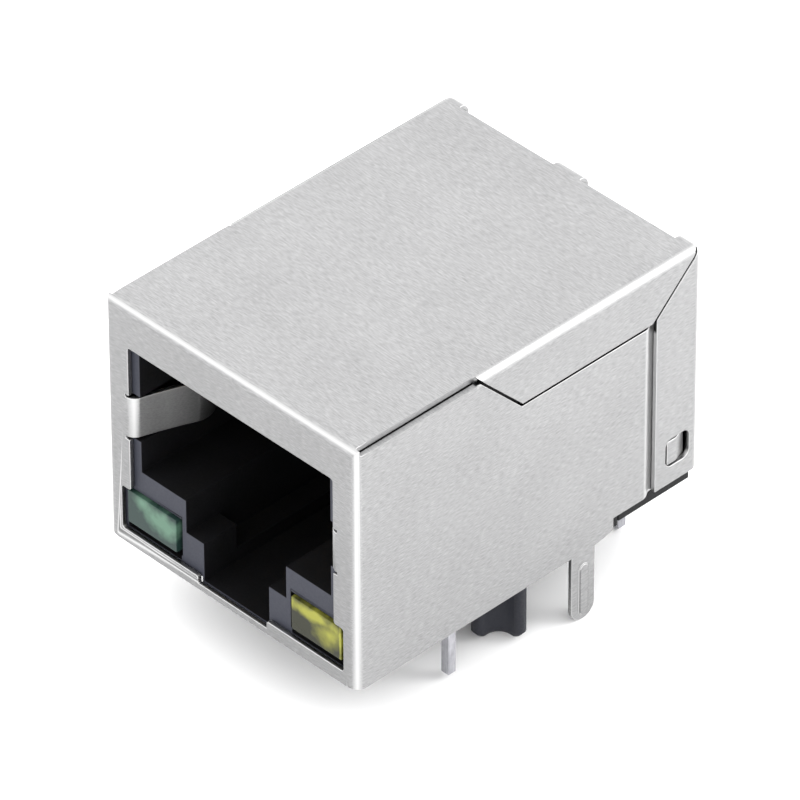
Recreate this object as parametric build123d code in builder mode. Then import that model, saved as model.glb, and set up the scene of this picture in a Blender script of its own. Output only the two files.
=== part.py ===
from build123d import *
import os
from math import cos, radians, tan

# Shielded single-port RJ45 board jack with its magnetics and two indicator lamps inside.
# Millimetres. The origin is midway between the two locating posts, on the face that meets the
# board. X runs to the right as seen from the plug side, Y to the rear and Z up from the board.
# Depths are measured rearwards from the front face of the shield.

# Board footprint, measured from the locating posts
POSTS_BEHIND_FRONT = 11.0
POST_SPACING = 11.43
LAMP_LEADS_AHEAD = 4.06
GROUND_TABS_BEHIND = 3.05
PIN_ROWS_BEHIND = 6.35
PIN_ROW_SPACING = 2.54
PIN_STEP = 1.27
PIN_COUNT = 8
REAR_MARGIN = 1.51

# Plug cavity, latch channel and the walls around them
CAVITY_WIDTH = 12.1
CAVITY_FLOOR = 4.25
CAVITY_HEIGHT = 6.85
LATCH_WIDTH = 6.4
LATCH_SHELF = 2.45
LATCH_SLOT_WIDTH = 4.16
LATCH_FLOOR = 0.35
LATCH_SHOULDER = 2.0
LATCH_POCKET_FLOOR = 1.1
LATCH_DEPTH = 9.5
HOUSING_WALL = 1.65
HOUSING_ROOF = 0.6
HOUSING_EDGE = 0.35
PLUG_STOP_WALL = 1.0

# Sheet of the shield
SHEET = 0.25
BEND = 0.5
SEAM = 0.12
SHEET_FIT = 0.05
DIE_RADIUS = 0.15

# Opening in the front of the shield
OPENING_LEDGE = 0.45
OPENING_REVEAL = 0.05
LAMP_WINDOW_LEDGE = 0.2
LAMP_WINDOW_BELOW = 0.37
LAMP_WINDOW_ABOVE = 0.08
SLOT_OPENING_LEDGE = 0.12
SLOT_OPENING_FLOOR = 0.3
FLAP_MARGIN = 0.05
FLAP_CORNER = 0.7
FLAP_REACH = 1.6

# Spring finger on each side of the opening
FINGER_ABOVE_FLOOR = 1.85
FINGER_WIDTH = 2.2
FINGER_RELIEF = 0.15
FINGER_ROOT = 0.25
FINGER_BEND = 0.6
FINGER_LEAN_ANGLE = 17
FINGER_BOW_RADIUS = 21.0
FINGER_BOW_ANGLE = 10
FINGER_TIP_RADIUS = 0.9
FINGER_POCKET_DEPTH = 5.4
FINGER_POCKET_SINK = 1.15

# Side seam, where the top's ears meet the side panels and the rear flanges
CORNER_SEAM_START = 0.3
EAR_START = 7.35
EAR_RUN = 2.8
EAR_DROP = 2.9
FLANGE_REACH = 2.85
SEAM_KNEE = 0.25
JOGGLE_LENGTH = 0.75
TUCK_FIT = 0.02
TUCK_END = 0.5

# Lower edge of the sides and the rear
FOOT_SLOPE_START = 15.0
FOOT_END = 15.95
FOOT_RISE = 0.2
SKIRT = 0.87

# Latch window of each rear flange and the barb that it catches
WINDOW_AHEAD_OF_REAR = 1.42
WINDOW_HEIGHT_ABOVE_BOARD = 2.62
WINDOW_LENGTH = 1.5
WINDOW_HEIGHT = 1.55
WINDOW_RADIUS = 0.4
BARB_CLEARANCE = 0.12
BARB_RIDGE = 0.55
BARB_RECESS = 0.03

# Bridges between the top and the rear panel
BRIDGE_HALF = 0.95
CORNER_BRIDGE = 1.25
BRIDGE_SLOT_DEPTH = 0.3
BRIDGE_SLOT_DROP = 0.6
BRIDGE_TAPER = 0.25

# Ground tabs of the sides
TAB_WIDTH = 1.45
TAB_LENGTH = 3.8
TAB_ROOT = 0.6
TAB_TIP_RADIUS = 0.7
BEAD_WIDTH = 0.55
BEAD_LENGTH = 2.9
BEAD_RISE = 0.08
BEAD_BELOW_BOARD = 0.65
BEAD_EDGE = 0.06

# Locating posts of the housing
POST_LENGTH = 3.2
POST_LOBES = 4
POST_LOBE_RADIUS = 0.75
POST_LOBE_OFFSET = 0.85
POST_VALLEY = 0.2
POST_TIP = 0.35

# Indicator lamps
LAMP_SIDE_WALL = 0.8
LAMP_BOTTOM = 1.07
LAMP_HEIGHT = 1.95
LAMP_SETBACK = 0.12
LAMP_LENGTH = 5.0
LAMP_EDGE = 0.15
LAMP_FIT = 0.12
LEAD_SIZE = 0.45
LEAD_OFFSET = 0.11
LEAD_SPACING = 2.54
LEAD_COVER = 0.38
LEAD_LENGTH = 3.55
LEAD_BEND = 0.6
LEAD_SLOT_FIT = 0.08
LEAD_FRAME_DEPTH = 1.3
LEAD_FRAME_LENGTH = 0.6
LEAD_FRAME_HEIGHT = 0.9
LEAD_POST_WIDTH = 0.6
LEAD_CUP_WIDTH = 1.1
MOULD_FIT = 0.01

# Contact wires and the insert that carries them
CONTACT_COUNT = 8
CONTACT_PITCH = 1.016
CONTACT_SIZE = 0.35
CONTACT_SLOT_FIT = 0.05
CONTACT_RISE = 0.5
CONTACT_FRONT = 3.0
CONTACT_BEND = 0.45
CONTACT_SLOPE_ANGLE = 20
CONTACT_END_GAP = 3.48
CONTACT_HOOK_RADIUS = 0.8
CONTACT_HOOK_ANGLE = 35
CONTACT_TAIL = 0.4
INSERT_FRONT = 2.2
INSERT_HEIGHT = 1.4
INSERT_MARGIN = 1.05
INSERT_RAIL = 0.6
INSERT_RAIL_HEIGHT = 0.65
INSERT_FIT = 0.03

# Filter board and its chips
BOARD_THICKNESS = 0.8
BOARD_AHEAD_OF_CARRIER = 0.5
BOARD_FLOOR = 0.9
BOARD_WALL = 0.7
BOARD_EDGE_FIT = 0.1
BOARD_HOLE = 0.6
RESISTOR_COUNT = 4
RESISTOR_LENGTH = 1.6
RESISTOR_WIDTH = 0.8
RESISTOR_HEIGHT = 0.45
RESISTOR_ROW = 7.6
CAPACITOR_LENGTH = 4.5
CAPACITOR_WIDTH = 2.0
CAPACITOR_HEIGHT = 1.3
CAPACITOR_ROW = 4.1
CHIP_CAP_SHARE = 0.2
CHIP_CAP_RISE = 0.04
SOLDER_GAP = 0.02
CHIP_CLEARANCE = 0.54

# Pin carrier at the rear and its pins
CARRIER_FRONT_MARGIN = 0.75
CARRIER_GAP = 0.1
CARRIER_FIT = 0.03
CARRIER_WALL = 0.8
CARRIER_FLOOR = 1.6
CARRIER_EDGE = 0.3
PIN_SIZE = 0.46
PIN_LENGTH = 3.85
PIN_POST_GAP = 0.15
PIN_TIP = 0.1
PIN_FIT = 0.01

# Ring coils: two transformers and two chokes
CORE_OUTER = 3.6
CORE_INNER = 1.8
CORE_LENGTH = 2.0
TURNS = 9
TURN_THICKNESS = 0.3
TURN_OVERLAP = 1.15
WINDING_FIT = 0.02
CRADLE_HEIGHT = 2.7
CRADLE_LENGTH = 1.55
CRADLE_SINK = 0.4
SHELF_THICKNESS = 0.6
SHELF_GAP = 0.15

# Places worked out from the sizes above
cavity_ceiling = CAVITY_FLOOR + CAVITY_HEIGHT
housing_top = cavity_ceiling + INSERT_HEIGHT + HOUSING_ROOF
housing_width = CAVITY_WIDTH + 2 * HOUSING_WALL
housing_front = SHEET + SHEET_FIT
WIDTH = housing_width + 2 * (SHEET + SHEET_FIT)
HEIGHT = housing_top + SHEET + SHEET_FIT
LENGTH = POSTS_BEHIND_FRONT + PIN_ROWS_BEHIND + PIN_ROW_SPACING + REAR_MARGIN
carrier_front = POSTS_BEHIND_FRONT + PIN_ROWS_BEHIND - CARRIER_FRONT_MARGIN
carrier_rear = LENGTH - SHEET - SHEET_FIT
housing_rear = carrier_front - CARRIER_GAP
board_rear = carrier_front - BOARD_AHEAD_OF_CARRIER
board_front = board_rear - BOARD_THICKNESS
board_width = housing_width - 2 * (BOARD_WALL + BOARD_EDGE_FIT)
board_height = housing_top - BOARD_WALL - BOARD_EDGE_FIT - BOARD_FLOOR
recess_front = board_front - SOLDER_GAP - CAPACITOR_HEIGHT - CHIP_CAP_RISE - CHIP_CLEARANCE
cavity_depth = recess_front - PLUG_STOP_WALL
lamp_width = LEAD_SPACING + 2 * LEAD_COVER
lamp_centre = housing_width / 2 - LAMP_SIDE_WALL - lamp_width / 2

# Planes with their origin on the front face of the shield, midway across, at board level
FLOOR = Plane(origin=(0, -POSTS_BEHIND_FRONT, 0))
FACE = Plane(origin=(0, -POSTS_BEHIND_FRONT, 0), x_dir=(1, 0, 0), z_dir=(0, -1, 0))
SIDE = Plane(origin=(0, -POSTS_BEHIND_FRONT, 0), x_dir=(0, 1, 0), z_dir=(1, 0, 0))

FROM_LOW_EDGE = (Align.CENTER, Align.MIN)
FROM_TOP_EDGE = (Align.CENTER, Align.MAX)
FROM_CORNER = (Align.MIN, Align.MIN)

os.makedirs("parts", exist_ok=True)


def folded_block(inset):
    """The block within the shield's outer faces, or with an inset within its inner faces.

    Its upper side edges are square ahead of the ears and rounded along them.
    """
    width = WIDTH - 2 * inset
    top = HEIGHT - inset
    radius = BEND - inset
    with BuildPart() as nose:
        with BuildSketch(SIDE) as profile:
            with Locations((inset, -inset)):
                Rectangle(EAR_START - inset, HEIGHT, align=FROM_CORNER)
            fillet(profile.vertices().group_by(Axis.Y)[-1].sort_by(Axis.X)[0], radius)
        extrude(amount=WIDTH, both=True)
        with BuildSketch(FLOOR) as plan:
            with Locations((0, inset)):
                Rectangle(width, EAR_START, align=FROM_LOW_EDGE)
            fillet(plan.vertices().group_by(Axis.Y)[0], radius)
        extrude(amount=2 * HEIGHT, both=True, mode=Mode.INTERSECT)
    with BuildPart() as block:
        with BuildSketch(FLOOR.offset(-inset)):
            with Locations((0, EAR_START)):
                Rectangle(width, LENGTH - inset - EAR_START, align=FROM_LOW_EDGE)
        extrude(amount=HEIGHT)
        rounded_edges = block.edges().filter_by_position(Axis.Z, top, top).filter_by(Axis.Y)
        rounded_edges += block.faces().sort_by(Axis.Y)[-1].edges().group_by(Axis.Z)[-1]
        rounded_edges += block.edges().filter_by(Axis.Z).group_by(Axis.Y)[-1]
        fillet(rounded_edges, radius)
        add(nose.part)
    return block.part


# Lines and edges that several folds of the shield share
opening_edge = CAVITY_WIDTH / 2 + OPENING_LEDGE
lamp_window_edge = lamp_centre + lamp_width / 2 + LAMP_WINDOW_LEDGE
lamp_window_floor = LAMP_BOTTOM - LAMP_WINDOW_BELOW
slot_opening_edge = LATCH_SLOT_WIDTH / 2 + SLOT_OPENING_LEDGE
flap_inner = slot_opening_edge + FLAP_MARGIN
flap_outer = WIDTH / 2 - FLAP_CORNER
finger_bottom = CAVITY_FLOOR + FINGER_ABOVE_FLOOR
finger_root = opening_edge + FINGER_ROOT
ear_bottom = HEIGHT - EAR_DROP
flange_front = LENGTH - FLANGE_REACH
joggle_start = flange_front - JOGGLE_LENGTH
knee = flange_front - SEAM_KNEE
side_inner_face = WIDTH / 2 - SHEET
tuck_face = side_inner_face - TUCK_FIT
window_centre = LENGTH - WINDOW_AHEAD_OF_REAR
window_front = window_centre - WINDOW_LENGTH / 2
window_rear = window_centre + WINDOW_LENGTH / 2
seam_line = [
    (EAR_START, HEIGHT),
    (EAR_START + EAR_RUN, ear_bottom),
    (knee, ear_bottom),
    (LENGTH, HEIGHT),
]

# Everything that is cut from the right half of the folded sheet
with BuildPart() as right_cuts:
    # Zig-zag seam, and the open corner that runs forward from it
    with BuildSketch(SIDE.offset(side_inner_face - SEAM / 2)):
        corner_height = HEIGHT - SHEET - SEAM / 2
        corner_end = EAR_START + EAR_RUN * (HEIGHT - corner_height) / EAR_DROP
        with BuildLine():
            Polyline(
                (CORNER_SEAM_START, corner_height),
                (corner_end, corner_height),
                (EAR_START, HEIGHT),
                (CORNER_SEAM_START, HEIGHT),
                close=True,
            )
        make_face()
        with BuildLine() as seam:
            Polyline(*seam_line)
        trace(seam.line, SEAM)
    extrude(amount=2 * SHEET)
    # The side panel gives way to the rear flange here
    with BuildSketch(SIDE.offset(side_inner_face)):
        flange_corner = ear_bottom + EAR_DROP * SEAM_KNEE / (LENGTH - knee)
        with BuildLine():
            Polyline(
                (joggle_start, 0),
                (flange_front, 0),
                (flange_front, flange_corner),
                (knee, ear_bottom),
                (joggle_start, ear_bottom),
                close=True,
            )
        make_face()
        with Locations((window_centre, WINDOW_HEIGHT_ABOVE_BOARD)):
            RectangleRounded(WINDOW_LENGTH, WINDOW_HEIGHT, WINDOW_RADIUS)
    extrude(amount=SHEET)
    # Slot between two bridges at the rear of the top
    with BuildSketch(FLOOR.offset(HEIGHT - BRIDGE_SLOT_DROP)):
        slot_outer = WIDTH / 2 - CORNER_BRIDGE
        with BuildLine():
            Polyline(
                (BRIDGE_HALF, LENGTH),
                (slot_outer, LENGTH),
                (slot_outer - BRIDGE_TAPER, LENGTH - BRIDGE_SLOT_DEPTH),
                (BRIDGE_HALF + BRIDGE_TAPER, LENGTH - BRIDGE_SLOT_DEPTH),
                close=True,
            )
        make_face()
    extrude(amount=BRIDGE_SLOT_DROP)
    # Root of the spring finger with its relief notches, and the corner that the flap's bend rounds
    with BuildSketch(FACE) as front_relief:
        with Locations((0, finger_bottom - FINGER_RELIEF)):
            Rectangle(finger_root, FINGER_WIDTH + 2 * FINGER_RELIEF, align=FROM_CORNER)
        with Locations((flap_inner, 0)):
            Rectangle(flap_outer - flap_inner, BEND, align=FROM_CORNER)
    extrude(amount=-BEND)

# Spring finger: out of the front panel, round the bend and into the cavity
with BuildPart() as finger:
    with BuildSketch(FLOOR.offset(finger_bottom)):
        with BuildLine() as finger_line:
            finger_bend = JernArc(
                start=(finger_root, SHEET / 2),
                tangent=(-1, 0),
                radius=FINGER_BEND - SHEET / 2,
                arc_size=FINGER_LEAN_ANGLE - 90,
            )
            JernArc(
                start=finger_bend @ 1,
                tangent=finger_bend % 1,
                radius=FINGER_BOW_RADIUS,
                arc_size=FINGER_BOW_ANGLE,
            )
        trace(finger_line.line, SHEET)
    extrude(amount=FINGER_WIDTH)
    finger_end = finger.faces().sort_by(Axis.Y)[-1]
    fillet(finger_end.edges().filter_by(Axis.Z, reverse=True), FINGER_TIP_RADIUS)

# Ground tab with its stiffening bead, pressed out from the inside
with BuildPart() as ground_tab:
    with BuildSketch(SIDE.offset(side_inner_face)) as tab_outline:
        with Locations((POSTS_BEHIND_FRONT + GROUND_TABS_BEHIND, TAB_ROOT)):
            Rectangle(TAB_WIDTH, TAB_ROOT + TAB_LENGTH, align=FROM_TOP_EDGE)
        fillet(tab_outline.vertices().group_by(Axis.Y)[0], TAB_TIP_RADIUS)
    extrude(amount=SHEET)
    bead_centre = (POSTS_BEHIND_FRONT + GROUND_TABS_BEHIND, -BEAD_BELOW_BOARD - BEAD_LENGTH / 2)
    with BuildSketch(SIDE.offset(WIDTH / 2)):
        with Locations(bead_centre):
            SlotOverall(BEAD_LENGTH, BEAD_WIDTH, rotation=90)
    extrude(amount=BEAD_RISE)
    chamfer(ground_tab.faces().sort_by(Axis.X)[-1].edges(), BEAD_EDGE)
    with BuildSketch(SIDE.offset(side_inner_face)):
        with Locations(bead_centre):
            SlotOverall(BEAD_LENGTH - 2 * BEAD_RISE, BEAD_WIDTH - 2 * BEAD_RISE, rotation=90)
    extrude(amount=BEAD_RISE, mode=Mode.SUBTRACT)

# Rear end of the side panel: joggled in by one sheet and tucked under the flange
with BuildPart() as tuck:
    with BuildSketch(FLOOR.offset(SKIRT)):
        with BuildLine():
            tuck_end = carrier_rear - TUCK_END
            outer_curve = Spline(
                (WIDTH / 2, joggle_start),
                (tuck_face, flange_front),
                tangents=((0, 1), (0, 1)),
            )
            inner_curve = Spline(
                (side_inner_face, joggle_start),
                (tuck_face - SHEET, flange_front),
                tangents=((0, 1), (0, 1)),
            )
            Line(outer_curve @ 0, inner_curve @ 0)
            Polyline(
                outer_curve @ 1,
                (tuck_face, tuck_end),
                (tuck_face - SHEET, tuck_end),
                inner_curve @ 1,
            )
        make_face()
    extrude(amount=ear_bottom - SEAM / 2 - SKIRT)
    # Barb lanced out of the tuck, free at its front edge
    barb_front = window_front + BARB_CLEARANCE
    barb_rear = window_rear - BARB_CLEARANCE
    barb_height = WINDOW_HEIGHT - 2 * BARB_CLEARANCE
    barb_face = WIDTH / 2 - BARB_RECESS
    barb_floor = WINDOW_HEIGHT_ABOVE_BOARD - barb_height / 2
    with BuildSketch(SIDE.offset(tuck_face - SHEET)):
        with Locations((barb_front, barb_floor)):
            Rectangle(barb_rear - barb_front, barb_height, align=FROM_CORNER)
    extrude(amount=SHEET, mode=Mode.SUBTRACT)
    with BuildSketch(FLOOR.offset(barb_floor)):
        with BuildLine():
            Polyline(
                (barb_face, barb_front),
                (barb_face, barb_front + BARB_RIDGE),
                (tuck_face, barb_rear),
                (tuck_face - SHEET, barb_rear),
                (barb_face - SHEET, barb_front + BARB_RIDGE),
                (barb_face - SHEET, barb_front),
                close=True,
            )
        make_face()
    extrude(amount=barb_height)

# Flap bent under the front edge of the housing
with BuildPart() as flap:
    with BuildSketch(SIDE.offset(flap_inner)):
        with BuildLine() as flap_line:
            flap_bend = JernArc(
                start=(SHEET / 2, BEND), tangent=(0, -1), radius=BEND - SHEET / 2, arc_size=90
            )
            Line(flap_bend @ 1, (FLAP_REACH, SHEET / 2))
        trace(flap_line.line, SHEET)
    extrude(amount=flap_outer - flap_inner)

# Shield: one sheet folded into a box that is open below
with BuildPart() as shield:
    add(folded_block(0))
    add(folded_block(SHEET), mode=Mode.SUBTRACT)
    # Opening for the plug, its latch and the lamps
    with BuildSketch(FACE) as opening:
        opening_height = cavity_ceiling + OPENING_REVEAL - lamp_window_floor
        lamp_window_height = LAMP_WINDOW_BELOW + LAMP_HEIGHT + LAMP_WINDOW_ABOVE
        with Locations((0, lamp_window_floor)):
            Rectangle(2 * opening_edge, opening_height, align=FROM_LOW_EDGE)
            Rectangle(2 * lamp_window_edge, lamp_window_height, align=FROM_LOW_EDGE)
        with Locations((0, SLOT_OPENING_FLOOR)):
            Rectangle(2 * slot_opening_edge, lamp_window_floor, align=FROM_LOW_EDGE)
        fillet(opening.vertices(), DIE_RADIUS)
    extrude(amount=-BEND, mode=Mode.SUBTRACT)
    # Lower edge: a sloping foot ahead of the step up to the skirt
    with BuildSketch(SIDE):
        with BuildLine():
            Polyline(
                (FOOT_SLOPE_START, 0),
                (FOOT_END, FOOT_RISE),
                (FOOT_END, SKIRT),
                (LENGTH, SKIRT),
                (LENGTH, 0),
                close=True,
            )
        make_face()
    extrude(amount=WIDTH, both=True, mode=Mode.SUBTRACT)
    add(right_cuts.part, mode=Mode.SUBTRACT)
    add(mirror(right_cuts.part, about=Plane.YZ, mode=Mode.PRIVATE), mode=Mode.SUBTRACT)
    for fold in (finger, ground_tab, tuck, flap):
        add(fold.part)
        add(mirror(fold.part, about=Plane.YZ, mode=Mode.PRIVATE))
shield.part.label = "shield"
export_step(shield.part, "parts/shield.step")


# Places of the lamps, their leads and the post footprint
lead_centre = lamp_centre + LEAD_OFFSET
lead_places = (lead_centre - LEAD_SPACING / 2, lead_centre + LEAD_SPACING / 2)
lead_drop = POSTS_BEHIND_FRONT - LAMP_LEADS_AHEAD
lead_height = LAMP_BOTTOM + LAMP_HEIGHT / 2
lamp_rear = LAMP_SETBACK + LAMP_LENGTH
lead_slot = LEAD_SIZE + 2 * LEAD_SLOT_FIT
contact_row = cavity_ceiling + CONTACT_RISE
contact_places = [(index - (CONTACT_COUNT - 1) / 2) * CONTACT_PITCH for index in range(CONTACT_COUNT)]
insert_width = (CONTACT_COUNT - 1) * CONTACT_PITCH + 2 * INSERT_MARGIN
rail_width = insert_width + 2 * INSERT_RAIL

# Locating post with four lobes and a tapered tip
with BuildPart() as post:
    with BuildSketch(Plane.XY) as post_section:
        Circle(POST_LOBE_OFFSET)
        with PolarLocations(POST_LOBE_OFFSET, POST_LOBES):
            Circle(POST_LOBE_RADIUS)
        fillet(post_section.vertices(), POST_VALLEY)
    extrude(amount=-POST_LENGTH)
    with BuildPart(mode=Mode.INTERSECT) as taper:
        with BuildSketch(Plane.XY):
            Circle(POST_LOBE_OFFSET + POST_LOBE_RADIUS + POST_TIP)
        extrude(amount=-POST_LENGTH)
        chamfer(taper.faces().sort_by(Axis.Z)[0].edges(), 2 * POST_TIP)

# Housing: one moulding around the plug cavity, the lamps and the contact insert
with BuildPart() as housing:
    with BuildSketch(FACE.offset(-housing_front)):
        Rectangle(housing_width, housing_top, align=FROM_LOW_EDGE)
    extrude(amount=housing_front - housing_rear)
    upper_edges = housing.faces().sort_by(Axis.Z)[-1].edges()
    front_edges = housing.faces().sort_by(Axis.Y)[0].edges().filter_by(Axis.Z)
    chamfer(upper_edges + front_edges, HOUSING_EDGE)
    # Plug cavity
    with BuildSketch(FACE.offset(-housing_front)):
        with Locations((0, CAVITY_FLOOR)):
            Rectangle(CAVITY_WIDTH, CAVITY_HEIGHT, align=FROM_LOW_EDGE)
    extrude(amount=housing_front - cavity_depth, mode=Mode.SUBTRACT)
    # Latch channel, with the shoulders that hold the plug's latch and the pocket behind them
    with BuildSketch(FACE.offset(-housing_front)):
        with Locations((0, LATCH_SHELF)):
            Rectangle(LATCH_WIDTH, CAVITY_FLOOR - LATCH_SHELF, align=FROM_LOW_EDGE)
        with Locations((0, LATCH_FLOOR)):
            Rectangle(LATCH_SLOT_WIDTH, CAVITY_FLOOR - LATCH_FLOOR, align=FROM_LOW_EDGE)
    extrude(amount=housing_front - LATCH_DEPTH, mode=Mode.SUBTRACT)
    with BuildSketch(FACE.offset(-housing_front - LATCH_SHOULDER)):
        with Locations((0, LATCH_POCKET_FLOOR)):
            Rectangle(LATCH_WIDTH, CAVITY_FLOOR - LATCH_POCKET_FLOOR, align=FROM_LOW_EDGE)
    extrude(amount=housing_front + LATCH_SHOULDER - LATCH_DEPTH, mode=Mode.SUBTRACT)
    # Lamp pockets
    with BuildSketch(FACE.offset(-housing_front)):
        with Locations((-lamp_centre, LAMP_BOTTOM - LAMP_FIT), (lamp_centre, LAMP_BOTTOM - LAMP_FIT)):
            Rectangle(lamp_width + 2 * LAMP_FIT, LAMP_HEIGHT + 2 * LAMP_FIT, align=FROM_LOW_EDGE)
    extrude(amount=housing_front - lamp_rear - LAMP_FIT, mode=Mode.SUBTRACT)
    # Slots that the lamps' leads run back and down in
    with BuildSketch(FLOOR):
        lead_slot_end = lead_drop + lead_slot / 2
        for side in (-1, 1):
            for place in lead_places:
                with Locations((side * place, lead_slot_end)):
                    Rectangle(lead_slot, lead_slot_end - lamp_rear + LAMP_FIT, align=FROM_TOP_EDGE)
    extrude(amount=lead_height + lead_slot / 2, mode=Mode.SUBTRACT)
    # Pockets that the spring fingers bend back into
    with BuildSketch(FACE.offset(-housing_front)):
        pocket_width = CAVITY_WIDTH + 2 * FINGER_POCKET_SINK
        with Locations((0, finger_bottom - FINGER_RELIEF)):
            Rectangle(pocket_width, FINGER_WIDTH + 2 * FINGER_RELIEF, align=FROM_LOW_EDGE)
    extrude(amount=housing_front - FINGER_POCKET_DEPTH, mode=Mode.SUBTRACT)
    # Stepped slide for the contact insert, and the recess behind it for the filter board
    with BuildSketch(FACE.offset(-INSERT_FRONT + INSERT_FIT)):
        with Locations((0, cavity_ceiling)):
            Rectangle(insert_width + 2 * INSERT_FIT, INSERT_HEIGHT, align=FROM_LOW_EDGE)
        with Locations((0, cavity_ceiling + INSERT_HEIGHT)):
            rail_slot_width = rail_width + 2 * INSERT_FIT
            Rectangle(rail_slot_width, INSERT_RAIL_HEIGHT + 2 * INSERT_FIT, align=FROM_TOP_EDGE)
    extrude(amount=INSERT_FRONT - INSERT_FIT - housing_rear, mode=Mode.SUBTRACT)
    with BuildSketch(FACE.offset(-recess_front)):
        recess_width = board_width + 2 * BOARD_EDGE_FIT
        with Locations((0, BOARD_FLOOR - BOARD_EDGE_FIT)):
            Rectangle(recess_width, board_height + 2 * BOARD_EDGE_FIT, align=FROM_LOW_EDGE)
    extrude(amount=recess_front - housing_rear, mode=Mode.SUBTRACT)
    # Steps that the shield's flaps lie in, cleared at the front for their bends
    for start in (flap_inner - SHEET_FIT, -flap_outer - SHEET_FIT):
        with BuildSketch(SIDE.offset(start)):
            Rectangle(FLAP_REACH + SHEET_FIT, SHEET + SHEET_FIT, align=FROM_CORNER)
            Rectangle(BEND, BEND, align=FROM_CORNER)
        extrude(amount=flap_outer - flap_inner + 2 * SHEET_FIT, mode=Mode.SUBTRACT)
    with Locations((-POST_SPACING / 2, 0), (POST_SPACING / 2, 0)):
        add(post.part)
housing.part.label = "housing"
export_step(housing.part, "parts/housing.step")

# Contact insert: a comb on two rails, open below each wire
with BuildPart() as contact_insert:
    with BuildSketch(FACE.offset(-INSERT_FRONT)):
        with Locations((0, cavity_ceiling + INSERT_FIT)):
            Rectangle(insert_width, INSERT_HEIGHT - 2 * INSERT_FIT, align=FROM_LOW_EDGE)
        with Locations((0, cavity_ceiling + INSERT_HEIGHT - INSERT_FIT)):
            Rectangle(rail_width, INSERT_RAIL_HEIGHT, align=FROM_TOP_EDGE)
    extrude(amount=INSERT_FRONT - board_front)
    with BuildSketch(FACE.offset(-INSERT_FRONT)):
        for place in contact_places:
            with Locations((place, cavity_ceiling)):
                Rectangle(
                    CONTACT_SIZE + 2 * CONTACT_SLOT_FIT,
                    CONTACT_RISE + CONTACT_SIZE / 2 + INSERT_FIT,
                    align=FROM_LOW_EDGE,
                )
    extrude(amount=INSERT_FRONT - board_front, mode=Mode.SUBTRACT)
contact_insert.part.label = "contact_insert"
export_step(contact_insert.part, "parts/contact_insert.step")


def make_contact(place):
    """A spring wire: from the filter board forward under the comb, round its front and back down."""
    arm_length = (cavity_depth - CONTACT_END_GAP - CONTACT_FRONT) / cos(radians(CONTACT_SLOPE_ANGLE))
    with BuildPart() as contact:
        with BuildSketch(SIDE.offset(place)):
            with BuildLine() as wire:
                Line((board_rear + CONTACT_TAIL, contact_row), (CONTACT_FRONT, contact_row))
                front_bend = JernArc(
                    start=(CONTACT_FRONT, contact_row),
                    tangent=(-1, 0),
                    radius=CONTACT_BEND,
                    arc_size=180 - CONTACT_SLOPE_ANGLE,
                )
                arm = PolarLine(front_bend @ 1, arm_length, angle=-CONTACT_SLOPE_ANGLE)
                JernArc(
                    start=arm @ 1,
                    tangent=arm % 1,
                    radius=CONTACT_HOOK_RADIUS,
                    arc_size=CONTACT_HOOK_ANGLE,
                )
            trace(wire.line, CONTACT_SIZE)
        extrude(amount=CONTACT_SIZE / 2, both=True)
    return contact


for index, place in enumerate(contact_places):
    contact = make_contact(place)
    contact.part.label = f"contact_{index + 1}"
    export_step(contact.part, f"parts/contact_{index + 1}.step")

# Filter board, upright behind the plug cavity
with BuildPart() as filter_board:
    with BuildSketch(FACE.offset(-board_front)):
        with Locations((0, BOARD_FLOOR)):
            Rectangle(board_width, board_height, align=FROM_LOW_EDGE)
        with Locations(*[(place, contact_row) for place in contact_places]):
            Circle(BOARD_HOLE / 2, mode=Mode.SUBTRACT)
    extrude(amount=-BOARD_THICKNESS)
filter_board.part.label = "filter_board"
export_step(filter_board.part, "parts/filter_board.step")


def make_chip(place, height, length, width, thickness):
    """A ceramic chip part with a metal cap round each end, flat on the front of the filter board."""
    cap = CHIP_CAP_SHARE * length
    with BuildPart() as chip:
        with BuildSketch(FACE.offset(-board_front + SOLDER_GAP)):
            with Locations((place, height)):
                Rectangle(length, width)
        extrude(amount=thickness)
        with BuildSketch(FACE.offset(-board_front + SOLDER_GAP)):
            for side in (-1, 1):
                with Locations((place + side * (length - cap) / 2, height)):
                    Rectangle(cap, width + 2 * CHIP_CAP_RISE)
        extrude(amount=thickness + CHIP_CAP_RISE)
    return chip


resistor_row = BOARD_FLOOR + RESISTOR_ROW
resistor_spacing = board_width / (RESISTOR_COUNT + 1)
for index in range(RESISTOR_COUNT):
    place = (index - (RESISTOR_COUNT - 1) / 2) * resistor_spacing
    resistor = make_chip(place, resistor_row, RESISTOR_LENGTH, RESISTOR_WIDTH, RESISTOR_HEIGHT)
    resistor.part.label = f"resistor_{index + 1}"
    export_step(resistor.part, f"parts/resistor_{index + 1}.step")

capacitor_row = BOARD_FLOOR + CAPACITOR_ROW
capacitor = make_chip(0, capacitor_row, CAPACITOR_LENGTH, CAPACITOR_WIDTH, CAPACITOR_HEIGHT)
capacitor.part.label = "high_voltage_capacitor"
export_step(capacitor.part, "parts/high_voltage_capacitor.step")

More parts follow.
